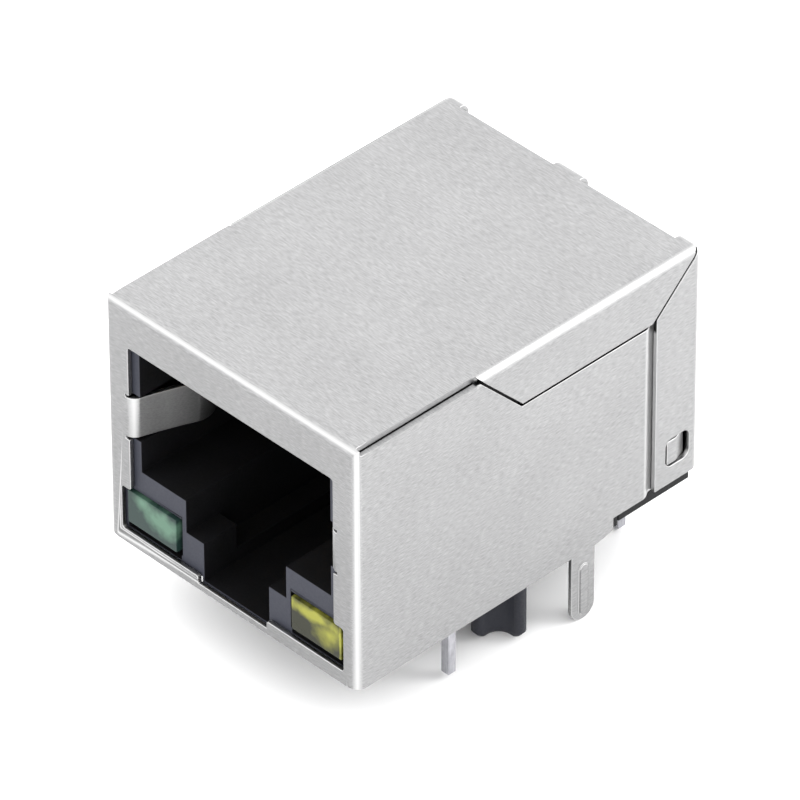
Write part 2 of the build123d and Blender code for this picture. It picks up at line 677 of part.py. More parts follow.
# Places in the pin carrier
carrier_width = 2 * (tuck_face - SHEET - CARRIER_FIT)
coil_spread = (carrier_width / 2 - CARRIER_WALL) / 2
coil_depth = (carrier_front + carrier_rear - CARRIER_WALL) / 2
coil_radius = CORE_OUTER / 2 + TURN_THICKNESS
lower_coil = CRADLE_HEIGHT + coil_radius - CRADLE_SINK
shelf_floor = lower_coil + coil_radius + SHELF_GAP
shelf_top = shelf_floor + SHELF_THICKNESS
upper_coil = shelf_top + coil_radius - CRADLE_SINK
coil_places = [(side * coil_spread, height) for height in (lower_coil, upper_coil) for side in (-1, 1)]
first_row = POSTS_BEHIND_FRONT + PIN_ROWS_BEHIND
first_pin = (PIN_COUNT - 1) / 2 * PIN_STEP
pin_places = [
    (first_pin - index * PIN_STEP, first_row + (PIN_ROW_SPACING if index % 2 == 0 else 0))
    for index in range(PIN_COUNT)
]

# Pin carrier: an open-fronted tray with cradles for the coils and holes for the pins
with BuildPart() as pin_carrier:
    with BuildSketch(FLOOR):
        with Locations((0, carrier_front)):
            Rectangle(carrier_width, carrier_rear - carrier_front, align=FROM_LOW_EDGE)
    extrude(amount=housing_top)
    outer_edges = pin_carrier.faces().sort_by(Axis.Z)[-1].edges()
    outer_edges += pin_carrier.faces().sort_by(Axis.Y)[-1].edges().filter_by(Axis.Z)
    chamfer(outer_edges, CARRIER_EDGE)
    with BuildSketch(FLOOR.offset(CARRIER_FLOOR)):
        tray_depth = carrier_rear - CARRIER_WALL - carrier_front
        with Locations((0, carrier_front)):
            Rectangle(carrier_width - 2 * CARRIER_WALL, tray_depth, align=FROM_LOW_EDGE)
    extrude(amount=HEIGHT, mode=Mode.SUBTRACT)
    # Lower cradle between the pin rows, and the shelf above it
    with BuildSketch(FACE.offset(CRADLE_LENGTH / 2 - coil_depth)):
        with Locations((0, CARRIER_FLOOR)):
            Rectangle(carrier_width - CARRIER_WALL, CRADLE_HEIGHT - CARRIER_FLOOR, align=FROM_LOW_EDGE)
        with Locations((0, shelf_floor)):
            Rectangle(carrier_width - CARRIER_WALL, SHELF_THICKNESS, align=FROM_LOW_EDGE)
        with Locations(*coil_places):
            Circle(coil_radius + WINDING_FIT, mode=Mode.SUBTRACT)
    extrude(amount=-CRADLE_LENGTH)
    with BuildSketch(FLOOR):
        with Locations(*pin_places):
            Rectangle(PIN_SIZE + 2 * PIN_FIT, PIN_SIZE + 2 * PIN_FIT)
    extrude(amount=CARRIER_FLOOR, mode=Mode.SUBTRACT)
pin_carrier.part.label = "pin_carrier"
export_step(pin_carrier.part, "parts/pin_carrier.step")


def make_signal_pin(place):
    """A square pin through the carrier's floor, with a post above it for the coil wires."""
    with BuildPart() as pin:
        with BuildSketch(FLOOR.offset(-PIN_LENGTH)):
            with Locations(place):
                Rectangle(PIN_SIZE, PIN_SIZE)
        extrude(amount=PIN_LENGTH + lower_coil - coil_radius - PIN_POST_GAP)
        chamfer(pin.faces().sort_by(Axis.Z)[0].edges(), PIN_TIP)
    return pin


for index, place in enumerate(pin_places):
    signal_pin = make_signal_pin(place)
    signal_pin.part.label = f"signal_pin_{index + 1}"
    export_step(signal_pin.part, f"parts/signal_pin_{index + 1}.step")


def make_coil_core(place):
    """A ferrite ring whose axis runs front to back."""
    with BuildPart() as core:
        with BuildSketch(FACE.offset(CORE_LENGTH / 2 - coil_depth)):
            with Locations(place):
                Circle(CORE_OUTER / 2)
                Circle(CORE_INNER / 2, mode=Mode.SUBTRACT)
        extrude(amount=-CORE_LENGTH)
    return core


def make_coil_winding(place):
    """Turns of wire side by side round the ring, touching each other at its bore."""
    inner_radius = CORE_INNER / 2 - TURN_THICKNESS
    turn_width = 2 * inner_radius * tan(radians(180 / TURNS)) * TURN_OVERLAP
    wound_length = CORE_LENGTH + 2 * TURN_THICKNESS
    bore = CORE_INNER / 2 - WINDING_FIT
    with BuildPart() as winding:
        with BuildSketch(FACE.offset(wound_length / 2 - coil_depth)):
            with Locations(place):
                with PolarLocations(inner_radius, TURNS):
                    Rectangle(coil_radius - inner_radius, turn_width, align=(Align.MIN, Align.CENTER))
        extrude(amount=-wound_length)
        with BuildSketch(FACE.offset(CORE_LENGTH / 2 + WINDING_FIT - coil_depth)):
            with Locations(place):
                Circle(CORE_OUTER / 2 + WINDING_FIT)
                Circle(bore, mode=Mode.SUBTRACT)
        extrude(amount=-CORE_LENGTH - 2 * WINDING_FIT, mode=Mode.SUBTRACT)
    return winding


for index, place in enumerate(coil_places):
    coil_core = make_coil_core(place)
    coil_core.part.label = f"coil_core_{index + 1}"
    export_step(coil_core.part, f"parts/coil_core_{index + 1}.step")
    coil_winding = make_coil_winding(place)
    coil_winding.part.label = f"coil_winding_{index + 1}"
    export_step(coil_winding.part, f"parts/coil_winding_{index + 1}.step")


def make_lamp_lead(side, place, frame_width, grow):
    """A square lead from its frame in the lamp back and down through the board.

    With grow it is the cavity that the lead leaves in the lamp.
    """
    size = LEAD_SIZE + 2 * grow
    towards_middle = 1 if place < lead_centre else -1
    frame_place = place + towards_middle * (frame_width - LEAD_SIZE) / 2
    with BuildPart() as lead:
        with BuildSketch(SIDE.offset(side * place)):
            with BuildLine() as lead_line:
                FilletPolyline(
                    (LEAD_FRAME_DEPTH + LEAD_FRAME_LENGTH / 2, lead_height),
                    (lead_drop, lead_height),
                    (lead_drop, -LEAD_LENGTH),
                    radius=LEAD_BEND,
                )
            trace(lead_line.line, size)
        extrude(amount=size / 2, both=True)
        with BuildSketch(FACE.offset(grow - LEAD_FRAME_DEPTH)):
            with Locations((side * frame_place, lead_height)):
                Rectangle(frame_width + 2 * grow, LEAD_FRAME_HEIGHT + 2 * grow)
        extrude(amount=-LEAD_FRAME_LENGTH - 2 * grow)
    return lead


def make_lamp(side):
    """A clear rectangular lamp moulded round the frames of its two leads."""
    with BuildPart() as lamp:
        with BuildSketch(FACE.offset(-LAMP_SETBACK)):
            with Locations((side * lamp_centre, LAMP_BOTTOM)):
                Rectangle(lamp_width, LAMP_HEIGHT, align=FROM_LOW_EDGE)
        extrude(amount=-LAMP_LENGTH)
        chamfer(lamp.faces().sort_by(Axis.Y)[0].edges(), LAMP_EDGE)
        for place, frame_width in zip(lead_places, (LEAD_POST_WIDTH, LEAD_CUP_WIDTH)):
            add(make_lamp_lead(side, place, frame_width, MOULD_FIT).part, mode=Mode.SUBTRACT)
    return lamp


for side, colour in ((-1, "green"), (1, "yellow")):
    lamp = make_lamp(side)
    lamp.part.label = f"{colour}_lamp"
    export_step(lamp.part, f"parts/{colour}_lamp.step")
    for index, (place, frame_width) in enumerate(zip(lead_places, (LEAD_POST_WIDTH, LEAD_CUP_WIDTH))):
        lamp_lead = make_lamp_lead(side, place, frame_width, 0)
        lamp_lead.part.label = f"{colour}_lamp_lead_{index + 1}"
        export_step(lamp_lead.part, f"parts/{colour}_lamp_lead_{index + 1}.step")
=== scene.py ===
from math import cos, radians, sin

import bpy
from mathutils import Matrix, Vector


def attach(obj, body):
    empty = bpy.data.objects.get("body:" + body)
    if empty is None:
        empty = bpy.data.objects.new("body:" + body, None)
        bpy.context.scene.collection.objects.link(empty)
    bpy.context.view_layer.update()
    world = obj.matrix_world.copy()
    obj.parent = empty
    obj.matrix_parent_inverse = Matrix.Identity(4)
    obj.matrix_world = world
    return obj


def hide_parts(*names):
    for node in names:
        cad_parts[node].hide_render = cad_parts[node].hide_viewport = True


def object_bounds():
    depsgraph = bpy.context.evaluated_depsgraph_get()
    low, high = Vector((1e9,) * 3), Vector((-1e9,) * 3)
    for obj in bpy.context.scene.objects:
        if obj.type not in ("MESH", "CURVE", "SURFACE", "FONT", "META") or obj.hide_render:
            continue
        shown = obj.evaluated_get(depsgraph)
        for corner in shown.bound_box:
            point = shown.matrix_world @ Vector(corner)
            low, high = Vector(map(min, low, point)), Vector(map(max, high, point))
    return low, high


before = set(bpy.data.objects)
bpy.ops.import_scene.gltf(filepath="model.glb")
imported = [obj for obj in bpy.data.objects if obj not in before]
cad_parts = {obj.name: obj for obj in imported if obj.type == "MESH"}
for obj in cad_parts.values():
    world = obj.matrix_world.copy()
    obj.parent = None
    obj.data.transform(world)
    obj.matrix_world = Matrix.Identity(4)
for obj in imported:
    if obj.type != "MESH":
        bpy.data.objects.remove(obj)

# Looks of a shielded RJ45 board jack. Metres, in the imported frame: the origin is midway between
# the locating posts on the board face, X to the right, Y to the rear and Z up.
MM = 0.001

# Places that the finishes and the finished pieces share
FRONT = -11.0 * MM
SEAM_START = -3.65 * MM
LAMP_SETBACK = 0.12 * MM

cad_low, cad_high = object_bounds()


# The mix node's sockets share their names, so they are found by their place
NUMBER_SOCKETS = (2, 3)
NUMBER_RESULT = 0
COLOUR_SOCKETS = (6, 7)
COLOUR_RESULT = 2


def new_material(name):
    """A material with a Principled shader; gives the material, its node tree and the shader."""
    material = bpy.data.materials.new(name)
    material.use_nodes = True
    tree = material.node_tree
    shader = tree.nodes["Principled BSDF"]
    return material, tree, shader


def add_node(tree, kind, **settings):
    """A node with its properties set by name."""
    node = tree.nodes.new(kind)
    for key, value in settings.items():
        setattr(node, key, value)
    return node


def feed(tree, value, socket):
    """Gives a socket its value: another socket's output, a colour or a number."""
    if isinstance(value, bpy.types.NodeSocket):
        tree.links.new(value, socket)
    elif isinstance(value, tuple):
        socket.default_value = (*value, 1.0)
    else:
        socket.default_value = value


def object_position(tree):
    """The point on the piece, in the object's own coordinates."""
    return add_node(tree, "ShaderNodeTexCoord").outputs["Object"]


def axes_of(tree, vector):
    """A vector's X, Y and Z outputs by name."""
    separate = add_node(tree, "ShaderNodeSeparateXYZ")
    tree.links.new(vector, separate.inputs["Vector"])
    return separate.outputs


def surface_direction(tree):
    """The X, Y and Z of the direction that the surface faces."""
    return axes_of(tree, add_node(tree, "ShaderNodeNewGeometry").outputs["Normal"])


def stretched(tree, vector, stretch):
    """The point with each axis multiplied, so that a texture has its own grain per axis."""
    mapping = add_node(tree, "ShaderNodeMapping")
    mapping.inputs["Scale"].default_value = stretch
    tree.links.new(vector, mapping.inputs["Vector"])
    return mapping.outputs["Vector"]


def noise(tree, vector, scale, detail=2.0, roughness=0.5):
    """A noise factor from 0 to 1."""
    texture = add_node(tree, "ShaderNodeTexNoise")
    texture.inputs["Scale"].default_value = scale
    texture.inputs["Detail"].default_value = detail
    texture.inputs["Roughness"].default_value = roughness
    tree.links.new(vector, texture.inputs["Vector"])
    return texture.outputs["Fac"]


def spread(tree, factor, low, high, to_low, to_high):
    """The factor's range from low to high stretched to another range, with its ends held."""
    ranged = add_node(tree, "ShaderNodeMapRange")
    ranged.inputs["From Min"].default_value = low
    ranged.inputs["From Max"].default_value = high
    ranged.inputs["To Min"].default_value = to_low
    ranged.inputs["To Max"].default_value = to_high
    tree.links.new(factor, ranged.inputs["Value"])
    return ranged.outputs["Result"]


def rising(tree, factor, start, end, peak=1.0):
    """0 at the start and the peak at the end, and held beyond them."""
    return spread(tree, factor, start, end, 0.0, peak)


def falling(tree, factor, start, end):
    """1 at the start and 0 at the end, and held beyond them."""
    return spread(tree, factor, start, end, 1.0, 0.0)


# Most of a noise factor's values keep this far from both 0 and 1
NOISE_MARGIN = 0.3
NARROW_MARGIN = 0.35


def noise_range(tree, factor, to_low, to_high, margin=NOISE_MARGIN):
    """A noise factor stretched over a range."""
    return spread(tree, factor, margin, 1.0 - margin, to_low, to_high)


def mixed_number(tree, factor, first, second):
    """A number between two, by a factor."""
    mix = add_node(tree, "ShaderNodeMix", data_type="FLOAT")
    tree.links.new(factor, mix.inputs["Factor"])
    for place, number in zip(NUMBER_SOCKETS, (first, second)):
        feed(tree, number, mix.inputs[place])
    return mix.outputs[NUMBER_RESULT]


def mixed_colour(tree, factor, first, second):
    """A colour between two, by a factor."""
    mix = add_node(tree, "ShaderNodeMix", data_type="RGBA")
    tree.links.new(factor, mix.inputs["Factor"])
    for place, colour in zip(COLOUR_SOCKETS, (first, second)):
        feed(tree, colour, mix.inputs[place])
    return mix.outputs[COLOUR_RESULT]


def combined(tree, operation, first, second=0.0):
    """A number worked out from two factors or numbers."""
    maths = add_node(tree, "ShaderNodeMath", operation=operation)
    for socket, value in zip(maths.inputs, (first, second)):
        feed(tree, value, socket)
    return maths.outputs["Value"]


def size_of(tree, factor):
    """A factor without its sign."""
    return combined(tree, "ABSOLUTE", factor)


def largest_of(tree, shares):
    """The largest of several shares."""
    largest = shares[0]
    for share in shares[1:]:
        largest = combined(tree, "MAXIMUM", largest, share)
    return largest


def all_of(tree, shares):
    """The product of several shares."""
    product = shares[0]
    for share in shares[1:]:
        product = combined(tree, "MULTIPLY", product, share)
    return product


def add_bump(tree, shader, height, strength, depth):
    """Fine relief from a height factor."""
    bump = add_node(tree, "ShaderNodeBump")
    bump.inputs["Strength"].default_value = strength
    bump.inputs["Distance"].default_value = depth
    tree.links.new(height, bump.inputs["Height"])
    tree.links.new(bump.outputs["Normal"], shader.inputs["Normal"])


# Brushed sheet: its colours, and its strokes as scales along and across them
SHEET_DARK = (0.228, 0.228, 0.23)
SHEET_LIGHT = (0.37, 0.37, 0.372)
# Painted highlight: the colour given to the bends and the joggle in place of their bright reflections
SHEET_PAINTED_HIGHLIGHT = (0.54, 0.54, 0.54)
# Painted shade: the colour put in the seams and down the fingers, where shade falls
SHEET_SHADED = (0.012, 0.012, 0.013)
STROKES_ACROSS = (2600, 22000, 22000)
STROKES_REARWARD = (22000, 2600, 22000)
STROKE_DETAIL = 3.0
STROKE_ROUGHNESS = 0.6
STROKE_SHARE = 0.85
STROKE_RELIEF = 0.25
STROKE_DEPTH = 0.004 * MM
CLOUD_SCALE = 260.0
# Painted shade: faces turned to the front are made darker than the sides and top
FRONT_PAINTED_SHADE = 0.3
FLAT_ROUGHNESS = (0.40, 0.32)
BEND_ROUGHNESS = 0.5

# Where the surface's direction counts as a flat or a bend, a side or the front
BEND_FROM_FLAT = (0.975, 0.74)
FACES_SIDEWAYS = (0.6, 0.8)
FACES_FORWARD = (-0.9, -0.98)
NOT_SIDEWAYS = (0.3, 0.5)

# Places on the sheet: each pair is where a change starts and where it is complete
# The joggle in front of the side's flange gets a painted highlight
JOGGLE_FRONT = (6.8 * MM, 6.95 * MM)
JOGGLE_REAR = (7.55 * MM, 7.6 * MM)
JOGGLE_SIDE = (7.5 * MM, 7.6 * MM)
JOGGLE_TOP = (10.4 * MM, 10.45 * MM)
JOGGLE_PAINTED_HIGHLIGHT = 0.6
# The seam between the top's ear and the side gets a painted shade
SEAM_INNER = (7.6 * MM, 7.7 * MM)
SEAM_OUTER = (7.93 * MM, 7.97 * MM)
SEAM_LOW = (9.8 * MM, 10.0 * MM)
SEAM_HIGH = (13.2 * MM, 13.3 * MM)
SEAM_FRONT = (SEAM_START - 0.1 * MM, SEAM_START)
# The fingers get a painted shade as they reach into the dark cavity
FINGER_SIDE = (6.4 * MM, 6.6 * MM)
FINGER_TOP = (11.5 * MM, 12.0 * MM)
FINGER_FRONT = (-9.3 * MM, -6.8 * MM)
FINGER_REAR = (0.0, 1.0 * MM)


def brushed_sheet():
    """Nickel-plated sheet with short strokes; painted highlights on its bends and joggle, and painted
    shade in its seams, down its fingers and on its front faces.
    """
    material, tree, shader = new_material("brushed_sheet")
    place = object_position(tree)
    where = axes_of(tree, place)
    from_middle = size_of(tree, where["X"])
    faces = surface_direction(tree)
    sideways = size_of(tree, faces["X"])

    strokes = [
        noise(tree, stretched(tree, place, grain), 1.0, STROKE_DETAIL, STROKE_ROUGHNESS)
        for grain in (STROKES_ACROSS, STROKES_REARWARD)
    ]
    stroke = mixed_number(tree, rising(tree, sideways, *FACES_SIDEWAYS), *strokes)
    cloud = noise(tree, place, CLOUD_SCALE, STROKE_DETAIL)
    tone = combined(
        tree,
        "ADD",
        noise_range(tree, stroke, 0.0, STROKE_SHARE),
        noise_range(tree, cloud, 0.0, 1.0 - STROKE_SHARE),
    )
    # Painted shade on the front faces: their tone is lowered
    front_painted_shade = rising(tree, faces["Y"], *FACES_FORWARD, FRONT_PAINTED_SHADE)
    tone = combined(tree, "SUBTRACT", tone, front_painted_shade)
    flat_colour = mixed_colour(tree, tone, SHEET_DARK, SHEET_LIGHT)

    steepest = largest_of(tree, [size_of(tree, faces[axis]) for axis in "XYZ"])
    # Where the surface bends its colour is made lighter, a painted highlight, and its roughness
    # changes too
    on_bend = rising(tree, steepest, *BEND_FROM_FLAT)
    joggle_painted_highlight = all_of(
        tree,
        [
            rising(tree, where["Y"], *JOGGLE_FRONT, JOGGLE_PAINTED_HIGHLIGHT),
            falling(tree, where["Y"], *JOGGLE_REAR),
            rising(tree, from_middle, *JOGGLE_SIDE),
            falling(tree, where["Z"], *JOGGLE_TOP),
        ],
    )
    painted_highlight = combined(tree, "MAXIMUM", on_bend, joggle_painted_highlight)
    sheet_colour = mixed_colour(tree, painted_highlight, flat_colour, SHEET_PAINTED_HIGHLIGHT)

    # Painted shade in the seam gaps and down the spring fingers
    seam_painted_shade = all_of(
        tree,
        [
            rising(tree, from_middle, *SEAM_INNER),
            falling(tree, from_middle, *SEAM_OUTER),
            rising(tree, where["Z"], *SEAM_LOW),
            falling(tree, where["Z"], *SEAM_HIGH),
            rising(tree, where["Y"], *SEAM_FRONT),
            falling(tree, sideways, *NOT_SIDEWAYS),
        ],
    )
    finger_painted_shade = all_of(
        tree,
        [
            falling(tree, from_middle, *FINGER_SIDE),
            falling(tree, where["Z"], *FINGER_TOP),
            rising(tree, where["Y"], *FINGER_FRONT),
            falling(tree, where["Y"], *FINGER_REAR),
        ],
    )
    shaded = combined(tree, "MAXIMUM", seam_painted_shade, finger_painted_shade)
    colour = mixed_colour(tree, shaded, sheet_colour, SHEET_SHADED)
    tree.links.new(colour, shader.inputs["Base Color"])
    flat_roughness = noise_range(tree, stroke, *FLAT_ROUGHNESS)
    roughness = mixed_number(tree, on_bend, flat_roughness, BEND_ROUGHNESS)
    tree.links.new(roughness, shader.inputs["Roughness"])
    shader.inputs["Metallic"].default_value = 1.0
    add_bump(tree, shader, stroke, STROKE_RELIEF, STROKE_DEPTH)
    return material


# Moulded plastic: lit and shaded copies of one black, painted light in blue-grey on its front face and
# below the board, and painted shade in deep black elsewhere
# Painted shade: deep blacks, darker than the plastic itself, for the shade inside the cavity
SHADE_BLACK_DARK = (0.0022, 0.0022, 0.0026)
SHADE_BLACK_LIGHT = (0.004, 0.004, 0.005)
# Painted light: the blue-grey of faces that catch the light
PAINTED_LIT_GREY = (0.034, 0.036, 0.048)
LIT_FRONT = (-10.3 * MM, -9.0 * MM)
LIT_FACES_FORWARD = (-0.7, -0.95)
LIT_BELOW_BOARD = (0.1 * MM, -0.1 * MM)
LIT_BELOW_SHARE = 0.45
PLASTIC_GRAIN = 9000.0
PLASTIC_CLOUD = 500.0
PLASTIC_ROUGHNESS = (0.50, 0.62)
PLASTIC_RELIEF = 0.3
PLASTIC_DEPTH = 0.006 * MM
DULL_SPECULAR = 0.2


def moulded_black():
    """Black moulding compound: painted light in blue-grey on the outer front face and below the board,
    and painted shade in deep black elsewhere.
    """
    material, tree, shader = new_material("moulded_black")
    place = object_position(tree)
    where = axes_of(tree, place)
    # Painted light on the front face and below the board, and painted shade of deep black elsewhere
    faces_forward = rising(tree, surface_direction(tree)["Y"], *LIT_FACES_FORWARD)
    on_face = all_of(tree, [faces_forward, falling(tree, where["Y"], *LIT_FRONT)])
    below_board = rising(tree, where["Z"], *LIT_BELOW_BOARD, LIT_BELOW_SHARE)
    cloud = noise_range(tree, noise(tree, place, PLASTIC_CLOUD), 0.0, 1.0)
    black = mixed_colour(tree, cloud, SHADE_BLACK_DARK, SHADE_BLACK_LIGHT)
    painted_lit = combined(tree, "MAXIMUM", on_face, below_board)
    tree.links.new(mixed_colour(tree, painted_lit, black, PAINTED_LIT_GREY), shader.inputs["Base Color"])
    grain = noise(tree, place, PLASTIC_GRAIN, 3.0)
    tree.links.new(noise_range(tree, grain, *PLASTIC_ROUGHNESS), shader.inputs["Roughness"])
    shader.inputs["Specular IOR Level"].default_value = DULL_SPECULAR
    add_bump(tree, shader, grain, PLASTIC_RELIEF, PLASTIC_DEPTH)
    return material


# Lamps: lighter patches in the colour with an uneven edge, one of them a painted highlight along the
# yellow lamp's right edge, and a surface with fine scratches
LAMP_FACE = FRONT + LAMP_SETBACK
PATCH_EDGE_SCALE = 1500.0
PATCH_UNEVENNESS = 0.45
SCRATCH_SCALE = 6000.0
EPOXY_ROUGHNESS = (0.12, 0.2)


def patch(tree, place, centre, reach, softness):
    """1 within a rounded patch about a point, 0 outside it; reach is its half size along each axis."""
    offset = add_node(tree, "ShaderNodeVectorMath", operation="SUBTRACT")
    tree.links.new(place, offset.inputs[0])
    offset.inputs[1].default_value = centre
    shaped = stretched(tree, offset.outputs["Vector"], [1 / size for size in reach])
    distance = add_node(tree, "ShaderNodeVectorMath", operation="LENGTH")
    tree.links.new(shaped, distance.inputs[0])
    edge_noise = noise(tree, place, PATCH_EDGE_SCALE)
    unevenness = noise_range(tree, edge_noise, -PATCH_UNEVENNESS, PATCH_UNEVENNESS)
    edge = combined(tree, "ADD", distance.outputs["Value"], unevenness)
    return rising(tree, edge, 1.0 + softness, 1.0 - softness)


def lamp_epoxy(name, deep, bright, bright_patches):
    """Tinted epoxy: a deep colour, lighter in patches."""
    material, tree, shader = new_material(name)
    place = object_position(tree)
    patch_share = largest_of(tree, [patch(tree, place, **settings) for settings in bright_patches])
    colour = mixed_colour(tree, patch_share, deep, bright)
    tree.links.new(colour, shader.inputs["Base Color"])
    scratches = noise(tree, place, SCRATCH_SCALE)
    tree.links.new(noise_range(tree, scratches, *EPOXY_ROUGHNESS), shader.inputs["Roughness"])
    shader.inputs["Specular IOR Level"].default_value = DULL_SPECULAR
    return material


# Wire: drawing marks along it and dull spots
MARK_DETAIL = 3.0
MARK_SHARE = 0.6
SPOT_SCALE = 2500.0
SPOT_ROUGHNESS = 0.06
MARK_RELIEF = 0.2
MARK_DEPTH = 0.003 * MM


def plated_wire(name, dark, light, roughness, stretch):
    """Plated wire with fine drawing marks along its length and small dull spots."""
    material, tree, shader = new_material(name)
    place = object_position(tree)
    marks = noise(tree, stretched(tree, place, stretch), 1.0, MARK_DETAIL)
    spots = noise(tree, place, SPOT_SCALE)
    tone = combined(
        tree,
        "ADD",
        noise_range(tree, marks, 0.0, MARK_SHARE),
        noise_range(tree, spots, 0.0, 1.0 - MARK_SHARE, NARROW_MARGIN),
    )
    tree.links.new(mixed_colour(tree, tone, dark, light), shader.inputs["Base Color"])
    dull_spots = noise_range(tree, spots, roughness + SPOT_ROUGHNESS, roughness - SPOT_ROUGHNESS)
    tree.links.new(dull_spots, shader.inputs["Roughness"])
    shader.inputs["Metallic"].default_value = 1.0
    add_bump(tree, shader, marks, MARK_RELIEF, MARK_DEPTH)
    return material


# Ceramic: a fine speckle in colour, roughness and relief
SPECKLE_DETAIL = 4.0
SPECKLE_ROUGHNESS = 0.7
SPECKLE_DULLING = 0.12
SPECKLE_RELIEF = 0.35
SPECKLE_DEPTH = 0.01 * MM


def fired_ceramic(name, dark, light, roughness, grain_size):
    """A dense sintered or coated body with a fine speckle."""
    material, tree, shader = new_material(name)
    place = object_position(tree)
    speckle = noise(tree, place, grain_size, SPECKLE_DETAIL, SPECKLE_ROUGHNESS)
    tone = noise_range(tree, speckle, 0.0, 1.0, NARROW_MARGIN)
    tree.links.new(mixed_colour(tree, tone, dark, light), shader.inputs["Base Color"])
    dulling = noise_range(tree, speckle, roughness, roughness + SPECKLE_DULLING)
    tree.links.new(dulling, shader.inputs["Roughness"])
    add_bump(tree, shader, speckle, SPECKLE_RELIEF, SPECKLE_DEPTH)
    return material


# Each CAD node and its finish
sheet_metal = brushed_sheet()
black_plastic = moulded_black()
green_epoxy = lamp_epoxy(
    "green_epoxy",
    deep=(0.014, 0.031, 0.027),
    bright=(0.085, 0.165, 0.115),
    bright_patches=[
        {
            "centre": (-4.6 * MM, LAMP_FACE, 2.3 * MM),
            "reach": (0.95 * MM, 1.0 * MM, 0.5 * MM),
            "softness": 0.6,
        },
        {
            "centre": (-5.9 * MM, LAMP_FACE, 2.65 * MM),
            "reach": (0.35 * MM, 1.0 * MM, 0.28 * MM),
            "softness": 0.9,
        },
    ],
)
yellow_epoxy = lamp_epoxy(
    "yellow_epoxy",
    deep=(0.019, 0.02, 0.01),
    bright=(0.25, 0.25, 0.035),
    bright_patches=[
        {
            "centre": (5.2 * MM, LAMP_FACE, 2.6 * MM),
            "reach": (1.3 * MM, 1.0 * MM, 0.3 * MM),
            "softness": 0.6,
        },
        {
            "centre": (6.1 * MM, LAMP_FACE, 2.1 * MM),
            "reach": (0.6 * MM, 1.0 * MM, 0.5 * MM),
            "softness": 1.0,
        },
        # A thin bright strip along the lens's right edge: a painted highlight
        {
            "centre": (6.8 * MM, LAMP_FACE, 2.0 * MM),
            "reach": (0.1 * MM, 1.0 * MM, 0.9 * MM),
            "softness": 0.4,
        },
    ],
)
tinned_wire = plated_wire(
    "tinned_wire",
    dark=(0.32, 0.32, 0.345),
    light=(0.5, 0.5, 0.53),
    roughness=0.42,
    stretch=(12000, 12000, 1500),
)
gilt_wire = plated_wire(
    "gilt_wire",
    dark=(0.75, 0.5, 0.17),
    light=(0.95, 0.68, 0.28),
    roughness=0.25,
    stretch=(12000, 1500, 12000),
)
copper_wire = plated_wire(
    "copper_wire",
    dark=(0.48, 0.17, 0.07),
    light=(0.72, 0.3, 0.13),
    roughness=0.3,
    stretch=(4000, 4000, 4000),
)
board_laminate = fired_ceramic(
    "board_laminate",
    dark=(0.012, 0.07, 0.028),
    light=(0.02, 0.1, 0.04),
    roughness=0.35,
    grain_size=4000,
)
ferrite = fired_ceramic(
    "ferrite",
    dark=(0.03, 0.03, 0.032),
    light=(0.055, 0.055, 0.058),
    roughness=0.55,
    grain_size=7000,
)
resistor_body = fired_ceramic(
    "resistor_body",
    dark=(0.02, 0.02, 0.022),
    light=(0.035, 0.035, 0.04),
    roughness=0.4,
    grain_size=6000,
)
capacitor_body = fired_ceramic(
    "capacitor_body",
    dark=(0.3, 0.19, 0.1),
    light=(0.4, 0.27, 0.15),
    roughness=0.4,
    grain_size=5000,
)

FINISHES = {
    "shield": sheet_metal,
    "housing": black_plastic,
    "contact_insert": black_plastic,
    "pin_carrier": black_plastic,
    "green_lamp": green_epoxy,
    "yellow_lamp": yellow_epoxy,
    "green_lamp_lead": tinned_wire,
    "yellow_lamp_lead": tinned_wire,
    "signal_pin": tinned_wire,
    "contact": gilt_wire,
    "filter_board": board_laminate,
    "resistor": resistor_body,
    "high_voltage_capacitor": capacitor_body,
    "coil_core": ferrite,
    "coil_winding": copper_wire,
}


def finish_of(node_name):
    """The finish named for a node, or for its family when the name ends in a number."""
    if node_name in FINISHES:
        return FINISHES[node_name]
    return FINISHES[node_name.rsplit("_", 1)[0]]


for node_name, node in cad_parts.items():
    node.data.materials.clear()
    node.data.materials.append(finish_of(node_name))


# Sizes that several of the finished pieces share
LENGTH = 21.4 * MM
HEIGHT = 13.4 * MM
SHEET = 0.25 * MM
OVERLAP = 0.03 * MM
MERGE = 0.0001 * MM

# Angles between faces: below the first they are flush, and above the others they are a sharp edge
FLUSH_ANGLE = radians(0.5)
ROLLED_ANGLE = radians(50)
SHADED_ANGLE = radians(40)
FACE_WEIGHT = 100


def select_only(piece):
    """Makes a piece the one selected and active object."""
    bpy.ops.object.select_all(action="DESELECT")
    piece.select_set(True)
    bpy.context.view_layer.objects.active = piece


def merge_facets(piece):
    """Merges what lies together or flush into flat faces."""
    select_only(piece)
    bpy.ops.object.mode_set(mode="EDIT")
    bpy.ops.mesh.select_all(action="SELECT")
    bpy.ops.mesh.remove_doubles(threshold=MERGE)
    bpy.ops.mesh.dissolve_limited(angle_limit=FLUSH_ANGLE)
    bpy.ops.object.mode_set(mode="OBJECT")


def copy_of(node_name, piece_name):
    """A copy of a CAD node's mesh, with its facets merged into flat faces."""
    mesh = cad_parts[node_name].data.copy()
    piece = bpy.data.objects.new(piece_name, mesh)
    bpy.context.scene.collection.objects.link(piece)
    merge_facets(piece)
    return piece


